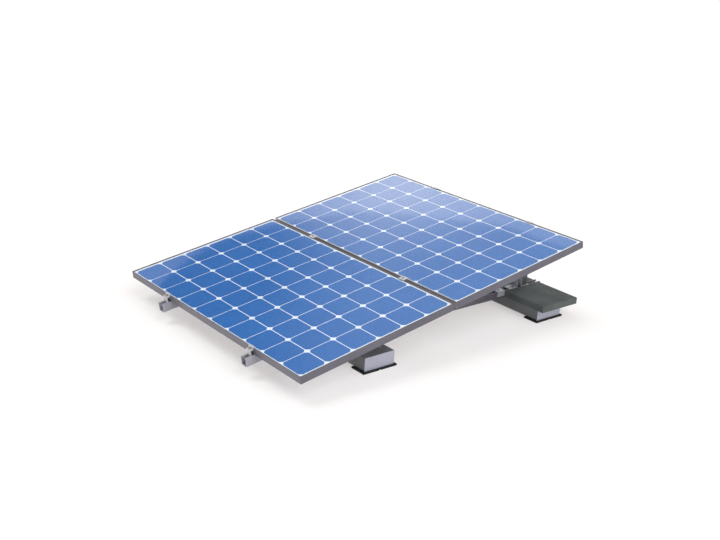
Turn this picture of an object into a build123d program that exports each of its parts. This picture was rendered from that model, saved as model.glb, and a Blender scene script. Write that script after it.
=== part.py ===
from build123d import *
import math
import os

# Solar ballast mount: two framed photovoltaic modules on a tilted pair of rails, carried by
# two folded cross beams on rubber pads and held down by concrete tiles.
# X runs along the modules, Y up the slope, Z up. All sizes are in millimetres.

# ---- modules -------------------------------------------------------------------------------
TILT = 10
MODULE_LENGTH = 1640
MODULE_WIDTH = 992
MODULE_GAP = 20
LOW_EDGE_HEIGHT = 177

FRAME_DEPTH = 40
FRAME_WALL = 2
FRAME_LIP = 5
FRAME_LEDGE = 11
FRAME_LIP_THICKNESS = 2
FRAME_FLANGE = 28

GLASS_THICKNESS = 3.2
CELL_THICKNESS = 0.5
BACKSHEET_THICKNESS = 0.8
LAMINATE_EDGE_GAP = 1

CELL_COLUMNS = 10
CELL_ROWS = 6
CELL_END_MARGIN = 19.75
CELL_SIDE_MARGIN = 14.25
CELL_COLUMN_GAP = 4.5
CELL_ROW_GAP = 5.5
CELL_CORNER = 16

KEY_LEG = 45
KEY_CLEARANCE = 0.2

JUNCTION_LENGTH = 150
JUNCTION_WIDTH = 100
JUNCTION_HEIGHT = 24
JUNCTION_FROM_EDGE = 110
JUNCTION_CORNER = 8
GLAND_SPACING = 80
GLAND_DIAMETER = 16
GLAND_BORE = 6
GLAND_TURN = 10
GLAND_LENGTH = 20

# ---- rails ---------------------------------------------------------------------------------
RAIL_SPACING = 820
RAIL_WIDTH = 41
RAIL_WALL = 2.5
RAIL_SLOT = 22
RAIL_LIP_DROP = 7
SLOPE_RAIL_HEIGHT = 48
SLOPE_RAIL_LOW_OVERHANG = 54
SLOPE_RAIL_HIGH_OVERHANG = 30
BASE_RAIL_HEIGHT = 41
BASE_RAIL_FRONT_OVERHANG = 15
RAIL_BOLT_FROM_BEAM_FACE = 45
BASE_RAIL_REAR_OVERHANG = 77
RAIL_GROOVE_HEIGHT = 27
RAIL_GROOVE_WIDTH = 4
RAIL_GROOVE_DEPTH = 1

# ---- cross beams, pads and ballast ---------------------------------------------------------
BEAM_LENGTH = 1340
BEAM_WIDTH = 200
BEAM_HEIGHT = 76
BEAM_WALL = 3
BEAM_RETURN = 35
BEAM_BEND_RADIUS = 4
FRONT_BEAM_BEFORE_SEAM = 366
REAR_BEAM_BEFORE_HIGH_EDGE = 64

CAP_THICKNESS = 2
CAP_TAB_DEPTH = 20
CAP_CLEARANCE = 0.2

PAD_THICKNESS = 10
PAD_WIDTH = 107.5
PAD_LENGTH = 100
PAD_GAP = 10
PAD_OVERHANG = 10

TILE_SIZE = 300
TILE_THICKNESS = 40
TILE_CHAMFER = 4
TILE_REAR_SHIFT = 18.5
TILE_RAIL_GAP = 0.5

# ---- legs and brackets ---------------------------------------------------------------------
LEG_DEPTH = 48
LEG_SLOT = 22
REAR_LEG_SHIFT = 27.5
LEG_TOP_GAP = 1
BRACKET_THICKNESS = 5
BRACKET_FOOT = 68
FRONT_BRACKET_RISE = 40
REAR_BRACKET_RISE = 52
BRACKET_GAP = 30
BRACKET_BOLT_HEIGHT = 28
BRACKET_WIDTH = 48
BRACKET_BEND_RADIUS = 4
SIDE_PLATE_THICKNESS = 4
SIDE_PLATE_WIDTH = 80
SIDE_PLATE_MARGIN = 4
BASE_BOLT_HEIGHT = 17
HEAD_PLATE_DROP = 70
HEAD_BOLT_DROP = 42
SADDLE_LENGTH = 60
SADDLE_THICKNESS = 4
SADDLE_DROP = 28
SADDLE_FROM_BEAM = 42

# ---- clamps and fasteners ------------------------------------------------------------------
CLAMP_WIDTH = 40
CLAMP_THICKNESS = 3
CLAMP_OVERLAP = 9
CLAMP_SEAT_DEPTH = 12
CLAMP_BOLT_SET_OUT = 10.5
CLAMP_FOOT_SET_OUT = 20
CLAMP_CLEARANCE = 0.5
MID_CLAMP_LEG = 10

BOLT_DIAMETER = 8
BOLT_HEAD_ACROSS = 13
BOLT_HEAD_HEIGHT = 5.3
ROUND_SIDES = 12
HOLE_DIAMETER = 9
NUT_LENGTH = 34
NUT_WIDTH = 20
NUT_THICKNESS = 8
BOLT_PAST_NUT = 4
PAD_BOLT_FROM_END = 65
PAD_BOLT_ACROSS = 54

# ---- positions worked out from the sizes above ---------------------------------------------
COS = math.cos(math.radians(TILT))
SIN = math.sin(math.radians(TILT))
TAN = math.tan(math.radians(TILT))

SLOPE_RUN = 2 * MODULE_WIDTH + MODULE_GAP
LOW_EDGE_TO_FRONT_BEAM = MODULE_WIDTH - FRONT_BEAM_BEFORE_SEAM
BEAM_SPACING = SLOPE_RUN - REAR_BEAM_BEFORE_HIGH_EDGE - LOW_EDGE_TO_FRONT_BEAM
FOOTPRINT_FRONT = -SLOPE_RAIL_LOW_OVERHANG * COS + FRAME_DEPTH * SIN
FOOTPRINT_REAR = (LOW_EDGE_TO_FRONT_BEAM + BEAM_SPACING + BEAM_WIDTH / 2
                  + BASE_RAIL_REAR_OVERHANG)
LOW_EDGE_Y = -(FOOTPRINT_FRONT + FOOTPRINT_REAR) / 2

FRONT_BEAM_Y = LOW_EDGE_Y + LOW_EDGE_TO_FRONT_BEAM
REAR_BEAM_Y = FRONT_BEAM_Y + BEAM_SPACING
BEAM_BOTTOM = PAD_THICKNESS
BEAM_TOP = BEAM_BOTTOM + BEAM_HEIGHT
BASE_RAIL_TOP = BEAM_TOP + BASE_RAIL_HEIGHT
BASE_RAIL_FRONT = FRONT_BEAM_Y - BEAM_WIDTH / 2 - BASE_RAIL_FRONT_OVERHANG
BASE_RAIL_REAR = REAR_BEAM_Y + BEAM_WIDTH / 2 + BASE_RAIL_REAR_OVERHANG
REAR_LEG_Y = REAR_BEAM_Y + REAR_LEG_SHIFT
REAR_BRACKET_FACE = REAR_LEG_Y - LEG_DEPTH / 2 - BRACKET_THICKNESS
FRONT_BRACKET_FACE = REAR_BRACKET_FACE - BRACKET_GAP
FRONT_BEAM_BOLT_Y = FRONT_BEAM_Y - BEAM_WIDTH / 2 + RAIL_BOLT_FROM_BEAM_FACE
REAR_BEAM_BOLT_Y = REAR_BEAM_Y + BEAM_WIDTH / 2 - RAIL_BOLT_FROM_BEAM_FACE
TILE_Y = REAR_BEAM_Y + TILE_REAR_SHIFT
SADDLE_Y = REAR_BEAM_Y - BEAM_WIDTH / 2 - SADDLE_FROM_BEAM - SADDLE_LENGTH / 2

RAIL_X = {"left": -RAIL_SPACING / 2, "right": RAIL_SPACING / 2}
OUTWARD = {"left": -1, "right": 1}
FULL_DEPTH = FRAME_DEPTH + SLOPE_RAIL_HEIGHT
POCKET = GLASS_THICKNESS + CELL_THICKNESS + BACKSHEET_THICKNESS
LEDGE_TOP = -FRAME_LIP_THICKNESS - POCKET

# The slope frame: x along the modules, y up the slope, z square to the glass,
# with its origin on the top of the modules' low edge.
slope = Plane(origin=(0, LOW_EDGE_Y, LOW_EDGE_HEIGHT), x_dir=(1, 0, 0), z_dir=(0, -SIN, COS))

os.makedirs("parts", exist_ok=True)
parts = {}


def keep(name, shape):
    parts[name] = shape


def block(x0, x1, y0, y1, z0, z1):
    size = (x1 - x0, y1 - y0, z1 - z0)
    centre = ((x0 + x1) / 2, (y0 + y1) / 2, (z0 + z1) / 2)
    return Pos(*centre) * Box(*size)


def prism(points, plane, length):
    """Closed outline in a plane, extruded along the plane's normal."""
    return extrude(plane * make_face(Polyline(*points, close=True)), length)


def section_along_y(points, x, y0, y1, z):
    """Section drawn in X and Z about (x, z), run from y0 to y1."""
    plane = Plane(origin=(x, y0, z), x_dir=(1, 0, 0), z_dir=(0, -1, 0))
    return prism(points, plane, -(y1 - y0))


def section_along_x(points, x0, x1, y, z):
    """Section drawn in Y and Z about (y, z), run from x0 to x1."""
    plane = Plane(origin=(x0, y, z), x_dir=(0, 1, 0), z_dir=(1, 0, 0))
    return prism(points, plane, x1 - x0)


def sloped(shape):
    return slope.location * shape


def underside_height(y):
    """Height of the slope rail's underside at a place along Y."""
    return LOW_EDGE_HEIGHT + (y - LOW_EDGE_Y) * TAN - FULL_DEPTH / COS


# ---- fasteners -----------------------------------------------------------------------------
def round_bar(diameter, length):
    """Bar along +Z from zero for shanks and their holes: mostly hidden, so few flat sides."""
    return extrude(RegularPolygon(diameter / 2, ROUND_SIDES), length)


def bolt_hole(length):
    """Tool for a bolt hole along Z, centred on the origin."""
    return Pos(0, 0, -length / 2) * round_bar(HOLE_DIAMETER, length)


def hex_head():
    return extrude(RegularPolygon(BOLT_HEAD_ACROSS / 2, 6, major_radius=False), BOLT_HEAD_HEIGHT)


def bolt_down(x, y, z, grip):
    """Hex bolt with its head on a face at height z, shank pointing down by the grip."""
    bolt = hex_head() + Pos(0, 0, -grip) * round_bar(BOLT_DIAMETER, grip)
    return Pos(x, y, z) * bolt


def through_bolt(grip):
    """Hex bolt and its nut, closed over a grip below z = 0."""
    nut = Pos(0, 0, -grip - BOLT_HEAD_HEIGHT) * hex_head()
    return bolt_down(0, 0, 0, grip + BOLT_HEAD_HEIGHT + BOLT_PAST_NUT) + nut


def hole_down(x, y, z, depth):
    """Tool for a bolt hole, passing well through a wall of the given depth."""
    return Pos(x, y, z) * bolt_hole(2 * depth)


def slot_nut(x, y, z_lip):
    """Channel nut that bears on the underside of a rail's lips, turned across the slot."""
    top = z_lip - RAIL_LIP_DROP
    nut = block(-NUT_LENGTH / 2, NUT_LENGTH / 2, -NUT_WIDTH / 2, NUT_WIDTH / 2, -NUT_THICKNESS, 0)
    nut -= Pos(0, 0, -NUT_THICKNESS) * round_bar(BOLT_DIAMETER, NUT_THICKNESS)
    return Pos(x, y, top) * nut


# ---- rails ---------------------------------------------------------------------------------
def rail_section(height, groove):
    """Lipped channel, open at the top, drawn with its bottom at zero."""
    w = RAIL_WIDTH / 2
    s = RAIL_SLOT / 2
    t = RAIL_WALL
    d = RAIL_LIP_DROP
    right = [(w, 0)]
    if groove:
        g0 = RAIL_GROOVE_HEIGHT - RAIL_GROOVE_WIDTH / 2
        g1 = RAIL_GROOVE_HEIGHT + RAIL_GROOVE_WIDTH / 2
        g = RAIL_GROOVE_DEPTH
        right += [(w, g0), (w - g, g0 + g), (w - g, g1 - g), (w, g1)]
    right += [(w, height), (s, height), (s, height - d), (s + t, height - d)]
    right += [(s + t, height - t), (w - t, height - t), (w - t, t)]
    left = [(-x, z) for x, z in reversed(right)]
    return right + left


def base_rail(side):
    x = RAIL_X[side]
    rail = section_along_y(rail_section(BASE_RAIL_HEIGHT, True), x,
                           BASE_RAIL_FRONT, BASE_RAIL_REAR, BEAM_TOP)
    for y in (FRONT_BEAM_BOLT_Y, REAR_BEAM_BOLT_Y):
        rail -= hole_down(x, y, BEAM_TOP, RAIL_WALL)
    return rail


def slope_rail(side):
    rail = section_along_y(rail_section(SLOPE_RAIL_HEIGHT, False), RAIL_X[side],
                           -SLOPE_RAIL_LOW_OVERHANG, SLOPE_RUN + SLOPE_RAIL_HIGH_OVERHANG,
                           -FULL_DEPTH)
    return sloped(rail)


# ---- cross beams ---------------------------------------------------------------------------
def beam_section():
    """Folded box with its two bottom returns turned in, open along the middle of its base."""
    w = BEAM_WIDTH / 2
    t = BEAM_WALL
    half = [(0, BEAM_HEIGHT), (w, BEAM_HEIGHT), (w, 0), (w - BEAM_RETURN, 0)]
    half += [(w - BEAM_RETURN, t), (w - t, t), (w - t, BEAM_HEIGHT - t), (0, BEAM_HEIGHT - t)]
    return half


def beam(beam_y, bolt_y, with_pad_bolts):
    length = BEAM_LENGTH - 2 * CAP_THICKNESS
    half = section_along_x(beam_section(), -length / 2, length / 2, beam_y, BEAM_BOTTOM)
    bends = [e for e in half.edges().filter_by(Axis.X) if is_bend(e, beam_y)]
    half = fillet(bends, BEAM_BEND_RADIUS)
    other = mirror(half, Plane.XZ.offset(-beam_y))
    body = half + other
    for x in RAIL_X.values():
        body -= hole_down(x, bolt_y, BEAM_TOP, 2 * BEAM_WALL)
    if with_pad_bolts:
        for x, y in pad_bolt_places():
            body -= hole_down(x, y, BEAM_TOP, 2 * BEAM_WALL)
    return body


def is_bend(edge, beam_y):
    centre = edge.center()
    outside = abs(centre.Y - beam_y - BEAM_WIDTH / 2) < 0.01
    return outside and (abs(centre.Z - BEAM_TOP) < 0.01 or abs(centre.Z - BEAM_BOTTOM) < 0.01)


def pad_bolt_places():
    return [(side * (BEAM_LENGTH / 2 - PAD_BOLT_FROM_END), FRONT_BEAM_Y + across)
            for side in (-1, 1) for across in (-PAD_BOLT_ACROSS, PAD_BOLT_ACROSS)]


def end_cap(side, beam_y):
    """Plate over the end of a beam, with a tab folded inward along the top."""
    outer = BEAM_LENGTH / 2
    inner = outer - CAP_THICKNESS
    plate = block(inner, outer, -BEAM_WIDTH / 2, BEAM_WIDTH / 2, 0, BEAM_HEIGHT)
    corners = plate.edges().filter_by(Axis.X)
    plate = fillet(corners, BEAM_BEND_RADIUS)
    top = BEAM_HEIGHT - BEAM_WALL - CAP_CLEARANCE
    reach = BEAM_WIDTH / 2 - 2 * BEAM_BEND_RADIUS
    tab = block(inner - CAP_TAB_DEPTH, inner, -reach, reach, top - CAP_THICKNESS, top)
    cap = Pos(0, beam_y, BEAM_BOTTOM) * (plate + tab)
    return cap if side > 0 else mirror(cap, Plane.YZ)


def pad_pair(side, beam_y):
    """Two rubber strips side by side under one end of a beam."""
    outer = BEAM_LENGTH / 2 + PAD_OVERHANG
    strips = []
    for across in (-1, 1):
        y = beam_y + across * (PAD_GAP + PAD_WIDTH) / 2
        strip = block(outer - PAD_LENGTH, outer, y - PAD_WIDTH / 2, y + PAD_WIDTH / 2,
                      0, PAD_THICKNESS)
        strips.append(strip if side > 0 else mirror(strip, Plane.YZ))
    return Compound(strips)


def ballast_tile(rail_side, outward):
    face = RAIL_X[rail_side] + outward * (RAIL_WIDTH / 2 + TILE_RAIL_GAP)
    x = face + outward * TILE_SIZE / 2
    tile = Pos(x, TILE_Y, BEAM_TOP + TILE_THICKNESS / 2) * Box(TILE_SIZE, TILE_SIZE, TILE_THICKNESS)
    return chamfer(tile.faces().sort_by(Axis.Z)[-1].edges(), TILE_CHAMFER)


# ---- legs and brackets ---------------------------------------------------------------------
def leg_section():
    """Lipped channel standing on end, its slot facing up the slope."""
    w = RAIL_WIDTH / 2
    s = LEG_SLOT / 2
    t = RAIL_WALL
    d = LEG_DEPTH / 2
    right = [(w, -d), (w, d), (s, d), (s, d - t), (w - t, d - t), (w - t, t - d)]
    left = [(-x, y) for x, y in reversed(right)]
    return right + left


def rear_leg(side):
    """Upright channel on the rear bracket's foot, cut to the slope at its head."""
    x = RAIL_X[side]
    foot = BASE_RAIL_TOP + BRACKET_THICKNESS
    tall = underside_height(REAR_LEG_Y + LEG_DEPTH) - foot
    body = prism(leg_section(), Plane(origin=(x, REAR_LEG_Y, foot)), tall)
    above = block(x - RAIL_WIDTH, x + RAIL_WIDTH, 0, SLOPE_RUN + FULL_DEPTH,
                  -FULL_DEPTH - LEG_TOP_GAP, 0)
    body -= sloped(above)
    body -= bracket_bolt_hole(x, REAR_LEG_Y - LEG_DEPTH / 2)
    return with_side_holes(body, side, HEAD_BOLTS)


def bracket_bolt_hole(x, y):
    """Tool for the bolt that ties both brackets to the leg."""
    return Pos(x, y, BASE_RAIL_TOP + BRACKET_BOLT_HEIGHT) * Rot(90, 0, 0) * bolt_hole(4 * RAIL_WALL)


def foot_bracket(x, face, away, rise):
    """Folded angle: its foot lies on the base rail and its upright stands at the given face."""
    t = BRACKET_THICKNESS
    outline = [(0, 0), (BRACKET_FOOT, 0), (BRACKET_FOOT, t), (t, t), (t, rise), (0, rise)]
    points = [(away * u, v) for u, v in outline]
    body = section_along_x(points, x - BRACKET_WIDTH / 2, x + BRACKET_WIDTH / 2, face, BASE_RAIL_TOP)
    heel = [e for e in body.edges().filter_by(Axis.X)
            if abs(e.center().Y - face) < 0.01 and abs(e.center().Z - BASE_RAIL_TOP) < 0.01]
    body = fillet(heel, BRACKET_BEND_RADIUS)
    body -= hole_down(x, foot_bolt_y(face, away), BASE_RAIL_TOP, 2 * t)
    return body - bracket_bolt_hole(x, face)


def foot_bolt_y(face, away):
    return face + away * (BRACKET_THICKNESS + BRACKET_FOOT) / 2


def side_plate(side, face, outline):
    """Flat plate against the side of a rail, drawn in Y and Z; face is -1 or +1 along X."""
    inner = RAIL_X[side] + face * RAIL_WIDTH / 2
    start = min(inner, inner + face * SIDE_PLATE_THICKNESS)
    return section_along_x(outline, start, start + SIDE_PLATE_THICKNESS, 0, 0)


def slope_edge(y, margin):
    """Height, at a place along Y, of a line a margin below the modules' frames."""
    return underside_height(y) + (SLOPE_RAIL_HEIGHT - margin) / COS


def slope_bolt(y):
    """Bolt halfway up the side of the slope rail."""
    return (y, slope_edge(y, SLOPE_RAIL_HEIGHT / 2))


def base_bolt(y):
    """Bolt through the side of the base rail, above its groove."""
    return (y, BEAM_TOP + BASE_BOLT_HEIGHT)


def leg_bolt(y):
    """Bolt through the side of a leg, below the slope rail."""
    return (y, underside_height(y) - HEAD_BOLT_DROP)


FRONT_BOLTS = [base_bolt(FRONT_BEAM_Y), slope_bolt(FRONT_BEAM_Y)]
HEAD_BOLTS = [leg_bolt(REAR_LEG_Y), slope_bolt(REAR_LEG_Y)]


def with_side_holes(shape, side, places):
    """Drills right across a rail, leg or plate at each place along Y and Z."""
    tool = Rot(0, 90, 0) * bolt_hole(2 * RAIL_WIDTH)
    for y, z in places:
        shape -= Pos(RAIL_X[side], y, z) * tool
    return shape


def plate_pair(side, y, bottom, places):
    """Two like plates, one on each side of the rails, with their tops cut to the slope."""
    y0 = y - SIDE_PLATE_WIDTH / 2
    y1 = y + SIDE_PLATE_WIDTH / 2
    outline = [(y0, bottom), (y1, bottom), (y1, slope_edge(y1, SIDE_PLATE_MARGIN)),
               (y0, slope_edge(y0, SIDE_PLATE_MARGIN))]
    plates = [with_side_holes(side_plate(side, face, outline), side, places) for face in (-1, 1)]
    return Compound(plates)


def plate_bolts():
    """Bolts across both plates and what lies between them, heads outward on each side."""
    out = RAIL_WIDTH / 2 + SIDE_PLATE_THICKNESS
    bolt = through_bolt(2 * out)
    bolts = []
    for side, x in RAIL_X.items():
        face = OUTWARD[side]
        for y, z in FRONT_BOLTS + HEAD_BOLTS:
            bolts.append(Pos(x + face * out, y, z) * Rot(0, 90 * face, 0) * bolt)
    return bolts


def foot_through_bolts():
    """One bolt on each rail through both foot brackets and the front wall of the leg."""
    bolt = through_bolt(BRACKET_GAP + 2 * BRACKET_THICKNESS + RAIL_WALL)
    z = BASE_RAIL_TOP + BRACKET_BOLT_HEIGHT
    y = FRONT_BRACKET_FACE - BRACKET_THICKNESS
    return [Pos(x, y, z) * Rot(90, 0, 0) * bolt for x in RAIL_X.values()]


def saddle(side):
    """Strap folded over the base rail, in front of the rear beam."""
    outer = RAIL_WIDTH / 2 + SADDLE_THICKNESS
    inner = RAIL_WIDTH / 2
    half = [(0, SADDLE_THICKNESS), (outer, SADDLE_THICKNESS), (outer, -SADDLE_DROP), (inner, -SADDLE_DROP),
            (inner, 0), (0, 0)]
    points = half + [(-x, z) for x, z in reversed(half[1:-1])]
    x = RAIL_X[side]
    body = section_along_y(points, x, SADDLE_Y - SADDLE_LENGTH / 2, SADDLE_Y + SADDLE_LENGTH / 2,
                           BASE_RAIL_TOP)
    return body - hole_down(x, SADDLE_Y, BASE_RAIL_TOP, 2 * SADDLE_THICKNESS)


# ---- clamps --------------------------------------------------------------------------------
def end_clamp(side, end):
    """Folded clamp at the low (-1) or high (+1) edge: lip, web, bolt seat and outer foot."""
    t = CLAMP_THICKNESS
    web = CLAMP_CLEARANCE
    out = CLAMP_FOOT_SET_OUT
    seat = -CLAMP_SEAT_DEPTH
    outline = [(-CLAMP_OVERLAP, 0), (web, 0), (web, seat), (out - t, seat), (out - t, -FRAME_DEPTH),
               (out, -FRAME_DEPTH), (out, seat + t), (web + t, seat + t), (web + t, t),
               (-CLAMP_OVERLAP, t)]
    edge = 0 if end < 0 else SLOPE_RUN
    points = [(edge + end * u, n) for u, n in outline]
    x = RAIL_X[side]
    body = section_along_x(points, x - CLAMP_WIDTH / 2, x + CLAMP_WIDTH / 2, 0, 0)
    body -= hole_down(x, edge + end * CLAMP_BOLT_SET_OUT, seat, 2 * t)
    return sloped(body)


def mid_clamp(side):
    """Flat plate over both modules' frames, with two short legs down in the gap."""
    t = CLAMP_THICKNESS
    wide = MODULE_GAP / 2 + CLAMP_OVERLAP
    leg_out = MODULE_GAP / 2 - CLAMP_CLEARANCE
    half = [(wide, t), (wide, 0), (leg_out, 0), (leg_out, -MID_CLAMP_LEG), (leg_out - t, -MID_CLAMP_LEG),
            (leg_out - t, 0)]
    points = half + [(-u, n) for u, n in reversed(half)]
    middle = MODULE_WIDTH + MODULE_GAP / 2
    x = RAIL_X[side]
    body = section_along_x(points, x - CLAMP_WIDTH / 2, x + CLAMP_WIDTH / 2, middle, 0)
    body -= hole_down(x, middle, 0, 2 * t)
    return sloped(body)


def clamp_bolt_places():
    """Place up the slope and seat height of every clamp bolt, the same on both rails."""
    end_seat = CLAMP_THICKNESS - CLAMP_SEAT_DEPTH
    return [(-CLAMP_BOLT_SET_OUT, end_seat), (MODULE_WIDTH + MODULE_GAP / 2, CLAMP_THICKNESS),
            (SLOPE_RUN + CLAMP_BOLT_SET_OUT, end_seat)]


def clamp_bolts():
    bolts = []
    for x in RAIL_X.values():
        for s, seat in clamp_bolt_places():
            grip = seat + FRAME_DEPTH + RAIL_LIP_DROP + NUT_THICKNESS + BOLT_PAST_NUT
            bolts.append(sloped(bolt_down(x, s, seat, grip)))
    return bolts


def clamp_nuts():
    return [sloped(slot_nut(x, s, -FRAME_DEPTH))
            for x in RAIL_X.values() for s, seat in clamp_bolt_places()]


# ---- fasteners on the base rails -----------------------------------------------------------
def base_slot_places():
    """Place along Y and the seat height of every bolt that goes down into a base rail's slot."""
    return [(SADDLE_Y, SADDLE_THICKNESS), (foot_bolt_y(FRONT_BRACKET_FACE, -1), BRACKET_THICKNESS),
            (foot_bolt_y(REAR_BRACKET_FACE, 1), BRACKET_THICKNESS)]


def base_slot_bolts():
    bolts = []
    for x in RAIL_X.values():
        for y, plate in base_slot_places():
            grip = plate + RAIL_LIP_DROP + NUT_THICKNESS + BOLT_PAST_NUT
            bolts.append(bolt_down(x, y, BASE_RAIL_TOP + plate, grip))
    return bolts


def base_slot_nuts():
    return [slot_nut(x, y, BASE_RAIL_TOP) for x in RAIL_X.values() for y, plate in base_slot_places()]


def beam_bolts():
    """Bolts inside the base rails, down through the top of each beam."""
    grip = RAIL_WALL + BEAM_WALL + NUT_THICKNESS
    return [bolt_down(x, y, BEAM_TOP + RAIL_WALL, grip)
            for x in RAIL_X.values() for y in (FRONT_BEAM_BOLT_Y, REAR_BEAM_BOLT_Y)]


def pad_bolts():
    grip = BEAM_WALL + NUT_THICKNESS
    return [bolt_down(x, y, BEAM_TOP, grip) for x, y in pad_bolt_places()]


# ---- modules, drawn flat in the slope frame and tilted last ---------------------------------
def frame_section():
    w = FRAME_WALL
    lip = FRAME_LIP
    ledge = FRAME_LEDGE
    floor = FRAME_WALL - FRAME_DEPTH
    return [(0, 0), (lip, 0), (lip, -FRAME_LIP_THICKNESS), (w, -FRAME_LIP_THICKNESS), (w, LEDGE_TOP),
            (ledge, LEDGE_TOP), (ledge, floor), (FRAME_FLANGE, floor), (FRAME_FLANGE, -FRAME_DEPTH),
            (0, -FRAME_DEPTH)]


def frame_chamber():
    w = FRAME_WALL
    floor = FRAME_WALL - FRAME_DEPTH
    far = FRAME_LEDGE - w
    return [(w, floor), (far, floor), (far, LEDGE_TOP - w), (w, LEDGE_TOP - w)]


def frame_bar(length):
    """Bar along X with its outer face at y = 0, both ends mitred."""
    half = length / 2
    bar = section_along_x(frame_section(), -half, half, 0, 0)
    bar -= section_along_x(frame_chamber(), -half, half, 0, 0)
    reach = FRAME_FLANGE + 1
    mitre = [(-half, 0), (half, 0), (half - reach, reach), (-half + reach, reach)]
    return bar & prism(mitre, Plane(origin=(0, 0, -FRAME_DEPTH)), FRAME_DEPTH)


def module_frame(start):
    """The four bars of one module's frame, by name, starting at a place up the slope."""
    half = MODULE_LENGTH / 2
    middle = start + MODULE_WIDTH / 2
    long_bar = frame_bar(MODULE_LENGTH)
    short_bar = frame_bar(MODULE_WIDTH)
    return {
        "frame_low": Pos(0, start, 0) * long_bar,
        "frame_high": Pos(0, start + MODULE_WIDTH, 0) * Rot(0, 0, 180) * long_bar,
        "frame_left": Pos(-half, middle, 0) * Rot(0, 0, -90) * short_bar,
        "frame_right": Pos(half, middle, 0) * Rot(0, 0, 90) * short_bar,
    }


def corner_keys(start):
    """Four L-shaped keys inside the frame's corners."""
    near = FRAME_WALL + KEY_CLEARANCE
    far = FRAME_LEDGE - FRAME_WALL - KEY_CLEARANCE
    outline = [(near, near), (KEY_LEG, near), (KEY_LEG, far), (far, far), (far, KEY_LEG), (near, KEY_LEG)]
    low = FRAME_WALL - FRAME_DEPTH
    high = LEDGE_TOP - FRAME_WALL - KEY_CLEARANCE
    key = prism(outline, Plane(origin=(0, 0, low)), high - low)
    corner = Pos(-MODULE_LENGTH / 2, -MODULE_WIDTH / 2, 0) * key
    pair = [corner, mirror(corner, Plane.YZ)]
    keys = pair + [mirror(key, Plane.XZ) for key in pair]
    return [Pos(0, start + MODULE_WIDTH / 2, 0) * key for key in keys]


def sheet(start, bottom, thickness):
    """Full-size layer of the laminate, inside the frame's groove."""
    inset = FRAME_WALL + LAMINATE_EDGE_GAP
    return block(-MODULE_LENGTH / 2 + inset, MODULE_LENGTH / 2 - inset,
                 start + inset, start + MODULE_WIDTH - inset, bottom, bottom + thickness)


def cells(start):
    """Cells with clipped corners, sized to fill the module between its margins."""
    pitch_x = (MODULE_LENGTH - 2 * CELL_END_MARGIN + CELL_COLUMN_GAP) / CELL_COLUMNS
    pitch_y = (MODULE_WIDTH - 2 * CELL_SIDE_MARGIN + CELL_ROW_GAP) / CELL_ROWS
    outline = Rectangle(pitch_x - CELL_COLUMN_GAP, pitch_y - CELL_ROW_GAP)
    cell = extrude(chamfer(outline.vertices(), CELL_CORNER), CELL_THICKNESS)
    centre = Pos(0, start + MODULE_WIDTH / 2, LEDGE_TOP + BACKSHEET_THICKNESS)
    grid = GridLocations(pitch_x, pitch_y, CELL_COLUMNS, CELL_ROWS)
    return [centre * place * cell for place in grid]


def junction_box(start):
    s = start + MODULE_WIDTH - JUNCTION_FROM_EDGE
    box = Pos(0, s, LEDGE_TOP - JUNCTION_HEIGHT / 2) * Box(JUNCTION_LENGTH, JUNCTION_WIDTH, JUNCTION_HEIGHT)
    return fillet(box.edges().filter_by(Axis.Z), JUNCTION_CORNER)


def cable_glands(start):
    s = start + MODULE_WIDTH - JUNCTION_FROM_EDGE - JUNCTION_WIDTH / 2 - GLAND_LENGTH / 2
    body = Pos(0, 0, -GLAND_LENGTH / 2) * round_bar(GLAND_DIAMETER, GLAND_LENGTH)
    tube = body - Cylinder(GLAND_BORE / 2, GLAND_LENGTH)
    lying = Rot(90, 0, 0) * Rot(0, 0, GLAND_TURN) * tube
    return [Pos(x, s, LEDGE_TOP - JUNCTION_HEIGHT / 2) * lying
            for x in (-GLAND_SPACING / 2, GLAND_SPACING / 2)]


def keep_module(name, start):
    for bar, shape in module_frame(start).items():
        keep(f"{name}_{bar}", sloped(shape))
    glass_bottom = -FRAME_LIP_THICKNESS - GLASS_THICKNESS
    keep(f"{name}_corner_keys", sloped(Compound(corner_keys(start))))
    keep(f"{name}_glass", sloped(sheet(start, glass_bottom, GLASS_THICKNESS)))
    keep(f"{name}_cells", sloped(Compound(cells(start))))
    keep(f"{name}_backsheet", sloped(sheet(start, LEDGE_TOP, BACKSHEET_THICKNESS)))
    keep(f"{name}_junction_box", sloped(junction_box(start)))


# ---- assembly ------------------------------------------------------------------------------
starts = {"lower": 0, "upper": MODULE_WIDTH + MODULE_GAP}
for name, start in starts.items():
    keep_module(name, start)
keep("cable_glands", sloped(Compound([g for start in starts.values() for g in cable_glands(start)])))

for side in ("left", "right"):
    x = RAIL_X[side]
    outward = OUTWARD[side]
    keep(f"base_rail_{side}", with_side_holes(base_rail(side), side, FRONT_BOLTS))
    keep(f"slope_rail_{side}", with_side_holes(slope_rail(side), side, FRONT_BOLTS + HEAD_BOLTS))
    keep(f"front_plates_{side}",
         plate_pair(side, FRONT_BEAM_Y, BEAM_TOP + SIDE_PLATE_MARGIN, FRONT_BOLTS))
    keep(f"rear_leg_{side}", rear_leg(side))
    keep(f"head_plates_{side}",
         plate_pair(side, REAR_LEG_Y, underside_height(REAR_LEG_Y) - HEAD_PLATE_DROP, HEAD_BOLTS))
    front_foot = foot_bracket(x, FRONT_BRACKET_FACE, -1, FRONT_BRACKET_RISE)
    rear_foot = foot_bracket(x, REAR_BRACKET_FACE, 1, REAR_BRACKET_RISE)
    keep(f"foot_brackets_{side}", Compound([front_foot, rear_foot]))
    keep(f"saddle_clip_{side}", saddle(side))

    keep(f"ballast_tile_outer_{side}", ballast_tile(side, outward))
    keep(f"ballast_tile_inner_{side}", ballast_tile(side, -outward))
    keep(f"low_end_clamp_{side}", end_clamp(side, -1))
    keep(f"mid_clamp_{side}", mid_clamp(side))
    keep(f"high_end_clamp_{side}", end_clamp(side, 1))

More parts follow.
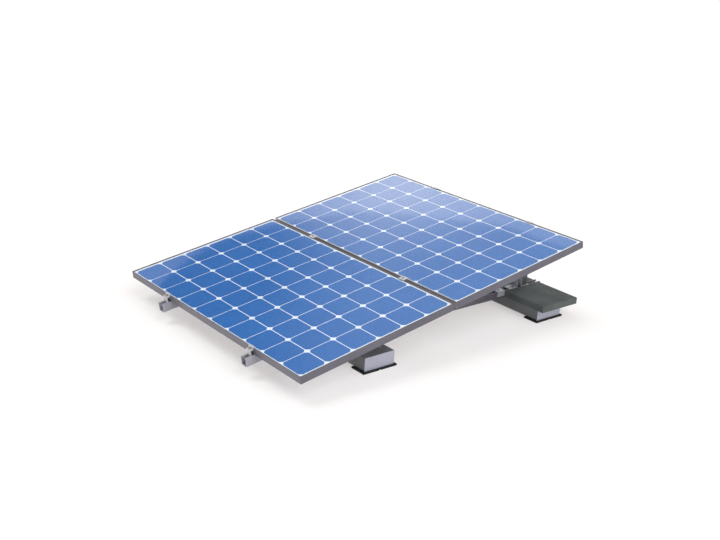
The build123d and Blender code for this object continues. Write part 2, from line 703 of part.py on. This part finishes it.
beams = {"front": (FRONT_BEAM_Y, FRONT_BEAM_BOLT_Y), "rear": (REAR_BEAM_Y, REAR_BEAM_BOLT_Y)}
for place, (beam_y, bolt_y) in beams.items():
    keep(f"{place}_beam", beam(beam_y, bolt_y, place == "front"))
    for side in ("left", "right"):
        keep(f"{place}_end_cap_{side}", end_cap(OUTWARD[side], beam_y))
        keep(f"{place}_pads_{side}", pad_pair(OUTWARD[side], beam_y))

keep("clamp_bolts", Compound(clamp_bolts()))
keep("channel_nuts", Compound(clamp_nuts() + base_slot_nuts()))
keep("rail_bolts", Compound(base_slot_bolts() + beam_bolts() + pad_bolts()))
keep("plate_bolts", Compound(plate_bolts()))
keep("foot_bolts", Compound(foot_through_bolts()))

for name, shape in parts.items():
    export_step(shape, f"parts/{name}.step")
print(len(parts), "nodes")
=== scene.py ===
"""Solar ballast mount: finishes, glass, mirrored sky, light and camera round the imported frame."""

import math

import bpy
from mathutils import Matrix, Vector


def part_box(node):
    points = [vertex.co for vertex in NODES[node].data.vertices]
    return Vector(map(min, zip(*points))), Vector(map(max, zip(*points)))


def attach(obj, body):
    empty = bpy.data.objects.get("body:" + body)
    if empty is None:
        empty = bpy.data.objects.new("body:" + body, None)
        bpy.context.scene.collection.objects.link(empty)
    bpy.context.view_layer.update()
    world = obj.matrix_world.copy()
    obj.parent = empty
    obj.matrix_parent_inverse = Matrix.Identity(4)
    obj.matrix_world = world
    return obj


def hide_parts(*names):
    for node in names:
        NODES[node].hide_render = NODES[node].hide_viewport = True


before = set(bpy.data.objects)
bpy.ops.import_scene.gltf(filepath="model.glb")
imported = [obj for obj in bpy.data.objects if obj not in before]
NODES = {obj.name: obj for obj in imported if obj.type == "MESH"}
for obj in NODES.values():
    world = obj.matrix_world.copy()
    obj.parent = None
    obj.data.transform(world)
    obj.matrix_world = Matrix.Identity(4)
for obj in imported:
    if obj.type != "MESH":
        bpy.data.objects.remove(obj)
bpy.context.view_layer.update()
SCENE = bpy.context.scene
SCENE.view_settings.view_transform = "Standard"

# ---- places read from the frame ------------------------------------------------------------
MM = 0.001
TILT = math.radians(10)
UP_SLOPE = Vector((0, math.cos(TILT), math.sin(TILT)))
NORMAL = Vector((0, -math.sin(TILT), math.cos(TILT)))
LOW_EDGE_HEIGHT = 177 * MM
LOW_EDGE = Vector((0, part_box("lower_frame_low")[0].y, LOW_EDGE_HEIGHT))

# ---- camera --------------------------------------------------------------------------------
CAMERA_AZIMUTH = 49.518
CAMERA_ELEVATION = 19.929
CAMERA_ROLL = -3.764
CAMERA_LENS = 53.442
CAMERA_REACH = 200
SENSOR_WIDTH = 36
CAMERA_PLACE = Vector((4.4153, -3.7806, 2.3665))


# ---- small helpers -------------------------------------------------------------------------
def srgb(red, green, blue):
    """A display colour, 0 to 255, as the linear colour that the shaders take."""
    def linear(value):
        value /= 255
        return value / 12.92 if value <= 0.04045 else ((value + 0.055) / 1.055) ** 2.4
    return (linear(red), linear(green), linear(blue), 1.0)


def on_slope(x, s, n=0.0):
    """A point x along the modules, s up the slope from the low edge and n above the glass."""
    return LOW_EDGE + Vector((x, 0, 0)) + UP_SLOPE * s + NORMAL * n


class Shader:
    """A node material under construction."""

    def __init__(self, name):
        self.material = bpy.data.materials.new(name)
        self.material.use_nodes = True
        self.tree = self.material.node_tree
        self.tree.nodes.clear()
        self.out = self.add("ShaderNodeOutputMaterial")
        self.coords = self.add("ShaderNodeTexCoord").outputs["Object"]

    def add(self, kind, **settings):
        node = self.tree.nodes.new(kind)
        for key, value in settings.items():
            setattr(node, key, value)
        return node

    def link(self, source, target):
        self.tree.links.new(source, target)

    def noise(self, scale, detail=4.0, stretch=(1, 1, 1), roughness=0.55):
        """Fractal noise in the row frame, optionally drawn out along an axis."""
        mapping = self.add("ShaderNodeMapping")
        mapping.inputs["Scale"].default_value = stretch
        self.link(self.coords, mapping.inputs["Vector"])
        node = self.add("ShaderNodeTexNoise")
        node.inputs["Scale"].default_value = scale
        node.inputs["Detail"].default_value = detail
        node.inputs["Roughness"].default_value = roughness
        self.link(mapping.outputs["Vector"], node.inputs["Vector"])
        return node.outputs["Fac"]

    def ramp(self, source, stops):
        """Colours along a value: stops are (position, colour)."""
        node = self.add("ShaderNodeValToRGB")
        elements = node.color_ramp.elements
        elements[0].position, elements[0].color = stops[0]
        elements[1].position, elements[1].color = stops[-1]
        for position, colour in stops[1:-1]:
            elements.new(position).color = colour
        self.link(source, node.inputs["Fac"])
        return node.outputs["Color"]

    def spread(self, source, low, high, start=0.3, end=0.7):
        """A value mapped from its middle range to low..high."""
        node = self.add("ShaderNodeMapRange")
        node.inputs["From Min"].default_value = start
        node.inputs["From Max"].default_value = end
        node.inputs["To Min"].default_value = low
        node.inputs["To Max"].default_value = high
        self.link(source, node.inputs["Value"])
        return node.outputs["Result"]

    def bump(self, source, height, strength=1.0, soften=0.0):
        """Surface relief of a height in metres, over edges rounded to a radius in metres."""
        node = self.add("ShaderNodeBump")
        node.inputs["Strength"].default_value = strength
        node.inputs["Distance"].default_value = height
        self.link(source, node.inputs["Height"])
        if soften:
            edge = self.add("ShaderNodeBevel", samples=4)
            edge.inputs["Radius"].default_value = soften
            self.link(edge.outputs["Normal"], node.inputs["Normal"])
        return node.outputs["Normal"]

    def surface(self, **sockets):
        """The principled surface; plain numbers are set on it, sockets are linked to it."""
        node = self.add("ShaderNodeBsdfPrincipled")
        for key, value in sockets.items():
            socket = node.inputs[key.replace("_", " ").title().replace("Ior", "IOR")]
            if isinstance(value, bpy.types.NodeSocket):
                self.link(value, socket)
            else:
                socket.default_value = value
        self.link(node.outputs["BSDF"], self.out.inputs["Surface"])
        return node


# ---- finishes ------------------------------------------------------------------------------
def brushed(name, dark, light, stretch, roughness=(0.38, 0.5), metallic=0.35, soften=0.6 * MM):
    """Rolled or extruded metal, its grain drawn out along one axis."""
    s = Shader(name)
    grain = s.noise(900, 3, stretch)
    cloud = s.noise(7, 4)
    tone = s.add("ShaderNodeMix", data_type="FLOAT")
    tone.inputs["Factor"].default_value = 0.35
    s.link(cloud, tone.inputs[2])
    s.link(grain, tone.inputs[3])
    tone = tone.outputs[0]
    s.surface(
        base_color=s.ramp(tone, [(0.35, srgb(*dark)), (0.65, srgb(*light))]),
        metallic=metallic,
        roughness=s.spread(cloud, *roughness),
        normal=s.bump(grain, 0.05 * MM, 0.4, soften),
    )
    return s.material


def galvanised(name, dark, light):
    """Zinc-coated steel, with its faint angular spangle."""
    s = Shader(name)
    spangle = s.add("ShaderNodeTexVoronoi", feature="F1")
    spangle.inputs["Scale"].default_value = 130
    s.link(s.coords, spangle.inputs["Vector"])
    facet = s.add("ShaderNodeSeparateColor")
    s.link(spangle.outputs["Color"], facet.inputs["Color"])
    facet = facet.outputs["Red"]
    s.surface(
        base_color=s.ramp(facet, [(0.0, srgb(*dark)), (1.0, srgb(*light))]),
        metallic=0.4,
        roughness=s.spread(facet, 0.34, 0.5, 0, 1),
        normal=s.bump(s.noise(300), 0.04 * MM, 0.3, 0.5 * MM),
    )
    return s.material


def concrete(name):
    """Pressed concrete: fine sand, small pores and cloudy tone."""
    s = Shader(name)
    cloud = s.noise(9, 5)
    sand = s.noise(420, 3, roughness=0.7)
    pores = s.add("ShaderNodeTexVoronoi", feature="F1")
    pores.inputs["Scale"].default_value = 140
    s.link(s.coords, pores.inputs["Vector"])
    pore = s.spread(pores.outputs["Distance"], 0.0, 1.0, 0.08, 0.22)
    tone = s.add("ShaderNodeMix", data_type="FLOAT")
    tone.inputs["Factor"].default_value = 0.55
    s.link(cloud, tone.inputs[2])
    s.link(sand, tone.inputs[3])
    relief = s.add("ShaderNodeMath", operation="ADD")
    s.link(sand, relief.inputs[0])
    s.link(pore, relief.inputs[1])
    stops = [(0.36, srgb(74, 79, 78)), (0.5, srgb(86, 91, 90)), (0.66, srgb(99, 103, 102))]
    s.surface(
        base_color=s.ramp(tone.outputs[0], stops),
        roughness=s.spread(sand, 0.82, 0.95),
        specular_ior_level=0.25,
        normal=s.bump(relief.outputs[0], 0.25 * MM, 0.7, 1.0 * MM),
    )
    return s.material


def rubber(name):
    """Bonded rubber granulate."""
    s = Shader(name)
    grains = s.add("ShaderNodeTexVoronoi", feature="F1")
    grains.inputs["Scale"].default_value = 380
    s.link(s.coords, grains.inputs["Vector"])
    grain = grains.outputs["Distance"]
    s.surface(
        base_color=s.ramp(grain, [(0.0, srgb(42, 42, 44)), (0.8, srgb(22, 22, 24))]),
        roughness=s.spread(grain, 0.75, 0.95, 0, 0.8),
        specular_ior_level=0.3,
        normal=s.bump(grain, 0.4 * MM, 0.6, 0.8 * MM),
    )
    return s.material


def moulded(name, dark, light):
    """Fine-textured black plastic."""
    s = Shader(name)
    texture = s.noise(1400, 2)
    s.surface(
        base_color=s.ramp(s.noise(30), [(0.3, srgb(*dark)), (0.7, srgb(*light))]),
        roughness=s.spread(texture, 0.5, 0.65),
        normal=s.bump(texture, 0.06 * MM, 0.5, 0.8 * MM),
    )
    return s.material


def silicon(name):
    """Blue cell with a faint crystal grain."""
    s = Shader(name)
    crystal = s.add("ShaderNodeTexVoronoi", feature="F1")
    crystal.inputs["Scale"].default_value = 90
    s.link(s.coords, crystal.inputs["Vector"])
    split = s.add("ShaderNodeSeparateColor")
    s.link(crystal.outputs["Color"], split.inputs["Color"])
    tone = s.add("ShaderNodeMix", data_type="FLOAT")
    tone.inputs["Factor"].default_value = 0.3
    s.link(s.noise(3, 3), tone.inputs[2])
    s.link(split.outputs["Blue"], tone.inputs[3])
    stops = [(0.25, srgb(38, 101, 169)), (0.75, srgb(46, 110, 179))]
    s.surface(
        base_color=s.ramp(tone.outputs[0], stops),
        roughness=s.spread(split.outputs["Red"], 0.35, 0.5, 0, 1),
        specular_ior_level=0.2,
        normal=s.bump(s.noise(1200, 2), 0.01 * MM, 0.2),
    )
    return s.material


def backsheet(name):
    """White polymer sheet with a fine weave."""
    s = Shader(name)
    weave = s.noise(600, 2)
    s.surface(
        base_color=s.ramp(s.noise(12), [(0.3, srgb(226, 231, 238)), (0.7, srgb(238, 242, 247))]),
        roughness=s.spread(weave, 0.55, 0.7),
        normal=s.bump(weave, 0.03 * MM, 0.3),
    )
    return s.material


def glazing(name):
    """Tempered glass: clear, with a mirror reflection that grows towards grazing angles.

    Only the outer side of each face mirrors, so light inside the pane isn't trapped in it.
    """
    s = Shader(name)
    ripple = s.bump(s.noise(2.2, 1), 0.3 * MM, 0.2)
    clear = s.add("ShaderNodeBsdfTransparent")
    clear.inputs["Color"].default_value = (0.97, 0.985, 1.0, 1.0)
    gloss = s.add("ShaderNodeBsdfGlossy")
    gloss.inputs["Roughness"].default_value = 0.04
    s.link(ripple, gloss.inputs["Normal"])
    fresnel = s.add("ShaderNodeFresnel")
    fresnel.inputs["IOR"].default_value = 1.5
    outer = s.add("ShaderNodeMath", operation="SUBTRACT", use_clamp=True)
    s.link(fresnel.outputs["Fac"], outer.inputs[0])
    s.link(s.add("ShaderNodeNewGeometry").outputs["Backfacing"], outer.inputs[1])
    mix = s.add("ShaderNodeMixShader")
    s.link(outer.outputs[0], mix.inputs["Fac"])
    s.link(clear.outputs["BSDF"], mix.inputs[1])
    s.link(gloss.outputs["BSDF"], mix.inputs[2])
    s.link(mix.outputs["Shader"], s.out.inputs["Surface"])
    return s.material


ALONG_X = (0.02, 1, 1)
ALONG_Y = (1, 0.02, 1)
ALONG_Z = (1, 1, 0.02)

FINISHES = {
    "frame_x": brushed("frame_anodised_x", (106, 103, 112), (120, 117, 126), ALONG_X),
    # Side members: a darker copy of the same anodised frame finish, painted shade for how the light
    # falls on their sides.
    "frame_y_painted_shade": brushed("frame_anodised_y_painted_shade", (92, 90, 100), (105, 103, 113), ALONG_Y),
    # Upper module's low member, at the gap between the modules: a much lighter copy of the anodised
    # frame finish, painted light.
    "frame_painted_light": brushed("frame_anodised_painted_light", (158, 155, 156), (172, 169, 170), ALONG_X),
    "slope_rail": brushed("slope_rail_aluminium", (152, 151, 160), (168, 167, 176), ALONG_Y),
    # Base rails: a darker copy of the rail aluminium, painted shade for the shadow under the modules.
    "rail": brushed("rail_aluminium", (84, 82, 89), (100, 98, 106), ALONG_Y),
    # Rear legs: a darker copy of the aluminium, painted shade for the shadow under the modules.
    "leg": brushed("leg_aluminium_painted_shade", (84, 83, 88), (100, 99, 104), ALONG_Z),
    "beam": brushed("beam_aluminium", (100, 101, 103), (114, 115, 117), ALONG_X),
    "cap": brushed("cap_aluminium", (166, 167, 182), (182, 183, 198), ALONG_Y),
    "clamp": brushed("clamp_aluminium", (186, 186, 189), (202, 202, 205), ALONG_X),
    "bracket": galvanised("bracket_galvanised", (150, 151, 158), (182, 183, 190)),
    "steel": brushed("fastener_steel", (150, 150, 152), (175, 175, 178), (1, 1, 1), (0.25, 0.4), 0.8),
    "key": brushed("key_aluminium", (150, 150, 152), (165, 165, 168), ALONG_Z),
    "concrete": concrete("concrete"),
    "rubber": rubber("pad_rubber"),
    "plastic": moulded("black_plastic", (22, 22, 23), (30, 30, 32)),
    "cell": silicon("solar_cell"),
    "backsheet": backsheet("white_backsheet"),
    "glass": glazing("module_glass"),
}

# The first word found in a node's name decides its finish.
FINISH_OF = [
    ("upper_frame_low", "frame_painted_light"),
    ("frame_low", "frame_x"), ("frame_high", "frame_x"), ("frame_left", "frame_y_painted_shade"),
    ("frame_right", "frame_y_painted_shade"), ("corner_keys", "key"), ("glass", "glass"), ("cells", "cell"),
    ("backsheet", "backsheet"), ("junction", "plastic"), ("gland", "plastic"),
    ("bolts", "steel"), ("nuts", "steel"), ("clamp", "clamp"),
    ("slope_rail", "slope_rail"), ("base_rail", "rail"), ("rear_leg", "leg"),
    ("end_cap", "cap"), ("beam", "beam"), ("pads", "rubber"), ("tile", "concrete"),
    ("plates", "bracket"), ("brackets", "bracket"), ("saddle", "bracket"),
]


def dress(node):
    """Give a CAD node the finish that its name asks for."""
    finish = next(finish for word, finish in FINISH_OF if word in node.name)
    for place in node.material_slots:
        place.material = FINISHES[finish]


for node in NODES.values():
    dress(node)


# ---- pieces added --------------------------------------------------------------------------
CELL_CLEARANCE = 0.15 * MM


def glass_pane(module):
    """The module's glass, its underside lifted off the cells so that the two faces never coincide."""
    name = f"{module}_glass"
    mesh = NODES[name].data.copy()
    middle = sum((NORMAL.dot(v.co) for v in mesh.vertices), 0.0) / len(mesh.vertices)
    for vertex in mesh.vertices:
        if NORMAL.dot(vertex.co) < middle:
            vertex.co += NORMAL * CELL_CLEARANCE
    pane = bpy.data.objects.new(f"{module}_glass_pane", mesh)
    pane.matrix_world = NODES[name].matrix_world
    SCENE.collection.objects.link(pane)
    for place in pane.material_slots:
        place.material = FINISHES["glass"]
    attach(pane, "root")
    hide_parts(name)


for module in ("lower", "upper"):
    glass_pane(module)


# ---- floor, light and camera ---------------------------------------------------------------
FLOOR_RADIUS = 60.0
FLOOR_SIDES = 96
FLOOR_TONES = [(0.2, (0.90, 0.90, 0.90, 1.0)), (0.8, (0.93, 0.93, 0.93, 1.0))]
FLOOR_GLOW = (1.0, 0.94, 0.93, 1.0)
FLOOR_GLOW_SHARE = 0.46


def make_floor():
    """Pale floor that takes the shadow, with a share of glow where it is looked at or mirrored."""
    s = Shader("studio_floor")
    ground = s.surface(
        base_color=s.ramp(s.noise(0.6), FLOOR_TONES), roughness=0.95, specular_ior_level=0.0)
    glow = s.add("ShaderNodeEmission")
    glow.inputs["Color"].default_value = FLOOR_GLOW
    path = s.add("ShaderNodeLightPath")
    seen = s.add("ShaderNodeMath", operation="MAXIMUM")
    s.link(path.outputs["Is Camera Ray"], seen.inputs[0])
    s.link(path.outputs["Is Glossy Ray"], seen.inputs[1])
    through = s.add("ShaderNodeMath", operation="MAXIMUM")
    s.link(seen.outputs[0], through.inputs[0])
    s.link(path.outputs["Is Transmission Ray"], through.inputs[1])
    share = s.add("ShaderNodeMath", operation="MULTIPLY")
    share.inputs[1].default_value = FLOOR_GLOW_SHARE
    s.link(through.outputs[0], share.inputs[0])
    mix = s.add("ShaderNodeMixShader")
    s.link(share.outputs[0], mix.inputs["Fac"])
    s.link(ground.outputs["BSDF"], mix.inputs[1])
    s.link(glow.outputs["Emission"], mix.inputs[2])
    s.link(mix.outputs["Shader"], s.out.inputs["Surface"])
    bpy.ops.mesh.primitive_circle_add(vertices=FLOOR_SIDES, radius=FLOOR_RADIUS, fill_type="NGON")
    floor = bpy.context.object
    floor.name = "studio_floor"
    floor.data.materials.append(s.material)


# ---- sky cards -----------------------------------------------------------------------------
# What the glass mirrors towards the camera: a clear sky that brightens towards the far left
# corner, with a band of cloud whose edge crosses both modules. Each card lies parallel to the
# glass. It is drawn in the glass's own metres, x along and s up the slope, and is enlarged
# about the foot of the line from the camera to the glass. Cards further behind have a larger
# scale, by CARD_STEP for each place back.
CARD_SCALE = 4.0
CARD_STEP = 0.1
CLOUD_EDGE = [
    (-0.42, -0.20), (-0.54, 0.02), (-0.64, 0.17), (-0.74, 0.39), (-0.79, 0.60), (-0.76, 0.81),
    (-0.73, 0.98), (-0.60, 1.20), (-0.53, 1.39), (-0.31, 1.55), (-0.07, 1.67), (0.18, 1.79),
    (0.36, 1.87), (0.63, 1.87), (0.80, 1.89), (1.10, 1.86),
]
CLOUD_BACK = [(3.0, 1.8), (3.0, 5.0), (-4.0, 5.0), (-4.0, -0.8)]
WHOLE_SKY = [(-4.0, -3.0), (4.0, -3.0), (4.0, 5.0), (-4.0, 5.0)]
UPPER_SKY = [(-4.0, 1.002), (4.0, 1.002), (4.0, 5.0), (-4.0, 5.0)]


def smooth_line(points, steps=6):
    """Catmull-Rom curve through the points."""
    ends = [points[0], *points, points[-1]]
    line = []
    for a, b, c, d in zip(ends, ends[1:], ends[2:], ends[3:]):
        for k in range(steps):
            t = k / steps
            line.append(tuple(
                0.5 * (2 * q + (r - p) * t + (2 * p - 5 * q + 4 * r - u) * t ** 2
                       + (3 * q - p - 3 * r + u) * t ** 3)
                for p, q, r, u in zip(a, b, c, d)))
    return [*line, points[-1]]


def card_value(s, direction, centre, start, end, low, high):
    """A soft step in brightness along a direction, or out from a centre."""
    if direction is None:
        node = s.add("ShaderNodeVectorMath", operation="DISTANCE")
        node.inputs[1].default_value = (*centre, 0)
    else:
        node = s.add("ShaderNodeVectorMath", operation="DOT_PRODUCT")
        node.inputs[1].default_value = (*direction, 0)
    s.link(s.coords, node.inputs[0])
    step = s.add("ShaderNodeMapRange", interpolation_type="SMOOTHSTEP")
    for key, value in (("From Min", start), ("From Max", end), ("To Min", low), ("To Max", high)):
        step.inputs[key].default_value = value
    s.link(node.outputs["Value"], step.inputs["Value"])
    return step.outputs["Result"]


def sky_card(name, outline, place_back, colour, clear, **gradient):
    """A glowing card that only mirrors see; clear ones add to what lies behind them."""
    s = Shader(name)
    glow = s.add("ShaderNodeEmission")
    glow.inputs["Color"].default_value = colour
    s.link(card_value(s, **gradient), glow.inputs["Strength"])
    shader = glow.outputs["Emission"]
    if clear:
        through = s.add("ShaderNodeBsdfTransparent")
        both = s.add("ShaderNodeAddShader")
        s.link(shader, both.inputs[0])
        s.link(through.outputs["BSDF"], both.inputs[1])
        shader = both.outputs["Shader"]
    s.link(shader, s.out.inputs["Surface"])
    mesh = bpy.data.meshes.new(name)
    mesh.from_pydata([(x, y, 0) for x, y in outline], [], [tuple(range(len(outline)))])
    mesh.materials.append(s.material)
    card = bpy.data.objects.new(name, mesh)
    origin = on_slope(0, 0)
    foot = CAMERA_PLACE - NORMAL * NORMAL.dot(CAMERA_PLACE - origin)
    scale = CARD_SCALE + place_back * CARD_STEP
    height = (scale - 1) * (CAMERA_PLACE - foot).length
    axes = Matrix((Vector((1, 0, 0)), UP_SLOPE, NORMAL)).transposed().to_4x4()
    place = Matrix.Translation(foot + (origin - foot) * scale + NORMAL * height)
    card.matrix_world = place @ axes @ Matrix.Scale(scale, 4)
    card.visible_camera = False
    card.visible_diffuse = False
    card.visible_transmission = False
    card.visible_shadow = False
    SCENE.collection.objects.link(card)


def make_sky():
    """The clear sky behind, then the cloud, the glow at the far corner and the upper haze."""
    sky_card("sky_clear", WHOLE_SKY, 3, (0.98, 1.0, 1.0, 1), False,
             direction=(1, 1), centre=None, start=0.15, end=1.3, low=0.06, high=0.8)
    sky_card("sky_cloud", smooth_line(CLOUD_EDGE) + CLOUD_BACK, 2, (1.04, 1.0, 0.98, 1), True,
             direction=(0, 1), centre=None, start=-1, end=0, low=0.72, high=0.72)
    sky_card("sky_glow", WHOLE_SKY, 1, (1.12, 1.0, 0.9, 1), True,
             direction=None, centre=(-0.6, 1.85), start=0.0, end=1.2, low=0.95, high=0.0)
    sky_card("sky_veil", UPPER_SKY, 0, (1.05, 1.0, 0.95, 1), True,
             direction=(1, 0), centre=None, start=-0.5, end=0.7, low=0.35, high=0.0)


def make_world(strength):
    """Even white light from all round."""
    world = bpy.data.worlds.new("studio")
    world.use_nodes = True
    world.node_tree.nodes["Background"].inputs["Color"].default_value = (1.0, 1.0, 1.0, 1.0)
    world.node_tree.nodes["Background"].inputs["Strength"].default_value = strength
    SCENE.world = world


def make_sun(name, azimuth, elevation, strength, softness):
    """A broad distant lamp; azimuth 0 shines from -Y and 90 from +X."""
    data = bpy.data.lights.new(name, "SUN")
    data.energy = strength
    data.angle = math.radians(softness)
    lamp = bpy.data.objects.new(name, data)
    a, e = math.radians(azimuth), math.radians(elevation)
    back = Vector((math.sin(a) * math.cos(e), -math.cos(a) * math.cos(e), math.sin(e)))
    lamp.rotation_mode = "QUATERNION"
    lamp.rotation_quaternion = back.to_track_quat("Z", "Y")
    SCENE.collection.objects.link(lamp)


def make_camera():
    """The camera at its solved place and angle, rolled about its own axis."""
    data = bpy.data.cameras.new("camera")
    data.sensor_width = SENSOR_WIDTH
    data.lens = CAMERA_LENS
    data.clip_end = CAMERA_REACH
    camera = bpy.data.objects.new("camera", data)
    a, e, r = (math.radians(v) for v in (CAMERA_AZIMUTH, CAMERA_ELEVATION, CAMERA_ROLL))
    back = Vector((math.sin(a) * math.cos(e), -math.cos(a) * math.cos(e), math.sin(e)))
    right = Vector((0, 0, 1)).cross(back).normalized()
    up = back.cross(right)
    turned_right = right * math.cos(r) - up * math.sin(r)
    turned_up = right * math.sin(r) + up * math.cos(r)
    place = Matrix((turned_right, turned_up, back)).transposed().to_4x4()
    place.translation = CAMERA_PLACE
    camera.matrix_world = place
    SCENE.collection.objects.link(camera)
    SCENE.camera = camera


make_floor()
make_sky()
make_world(strength=0.56)
make_sun("key", azimuth=82, elevation=40, strength=1.7, softness=40)
make_sun("top", azimuth=350, elevation=66, strength=1.1, softness=30)
make_camera()
